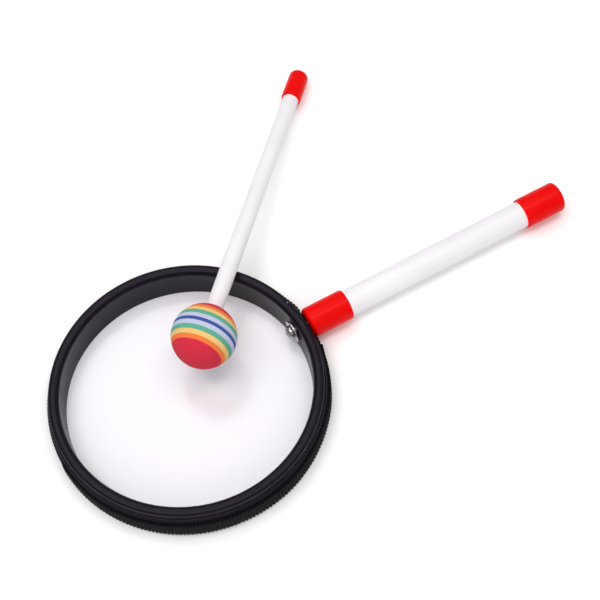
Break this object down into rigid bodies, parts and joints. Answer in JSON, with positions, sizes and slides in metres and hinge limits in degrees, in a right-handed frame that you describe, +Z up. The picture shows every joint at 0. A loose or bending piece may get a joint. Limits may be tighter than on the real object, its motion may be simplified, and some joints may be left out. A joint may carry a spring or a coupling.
{
  "type": "lollipop drum",
  "caption": "Hand drum with a film head on a moulded ring, a capped stick handle screwed to its side, and a striped foam-ball mallet lying over the rim.",
  "frame": {"origin": "centre of the drumhead's outer face, on the table that the drum lies on", "axes": "+X out through the screw towards the handle, +Z up through the open back, +Y to the left of the handle, where the mallet lies"},
  "size_m": [0.3189, 0.2308, 0.05],
  "materials": {
    "black_plastic": "satin",
    "film": "gloss",
    "black_webbing": "matte",
    "white_paint": "satin",
    "red_vinyl": "gloss",
    "chrome_plate": "polished",
    "foam_red": "matte",
    "foam_orange": "matte",
    "foam_yellow": "matte",
    "foam_green": "matte",
    "foam_lavender": "matte",
    "foam_blue": "matte"
  },
  "bodies": {
    "drum": {"drum_shell": "black_plastic", "drumhead": "film", "edge_webbing": "black_webbing", "handle_rod": "white_paint", "handle_front_cap": "red_vinyl", "handle_end_cap": "red_vinyl", "handle_screw": "chrome_plate", "screw_washer": "chrome_plate"},
    "mallet": {"mallet_shaft": "white_paint", "mallet_end_cap": "red_vinyl", "ball_layer_01_red": "foam_red", "ball_layer_02_orange": "foam_orange", "ball_layer_03_yellow": "foam_yellow", "ball_layer_04_green": "foam_green", "ball_layer_05_lavender": "foam_lavender", "ball_layer_06_blue": "foam_blue", "ball_layer_07_lavender": "foam_lavender", "ball_layer_08_green": "foam_green", "ball_layer_09_yellow": "foam_yellow", "ball_layer_10_orange": "foam_orange", "ball_layer_11_red": "foam_red"}
  },
  "joints": [
    {"name": "mallet_lift", "type": "slide", "parent": "drum", "child": "mallet", "axis": [0, 0, 1], "range_m": [0, 0.12]}
  ]
}
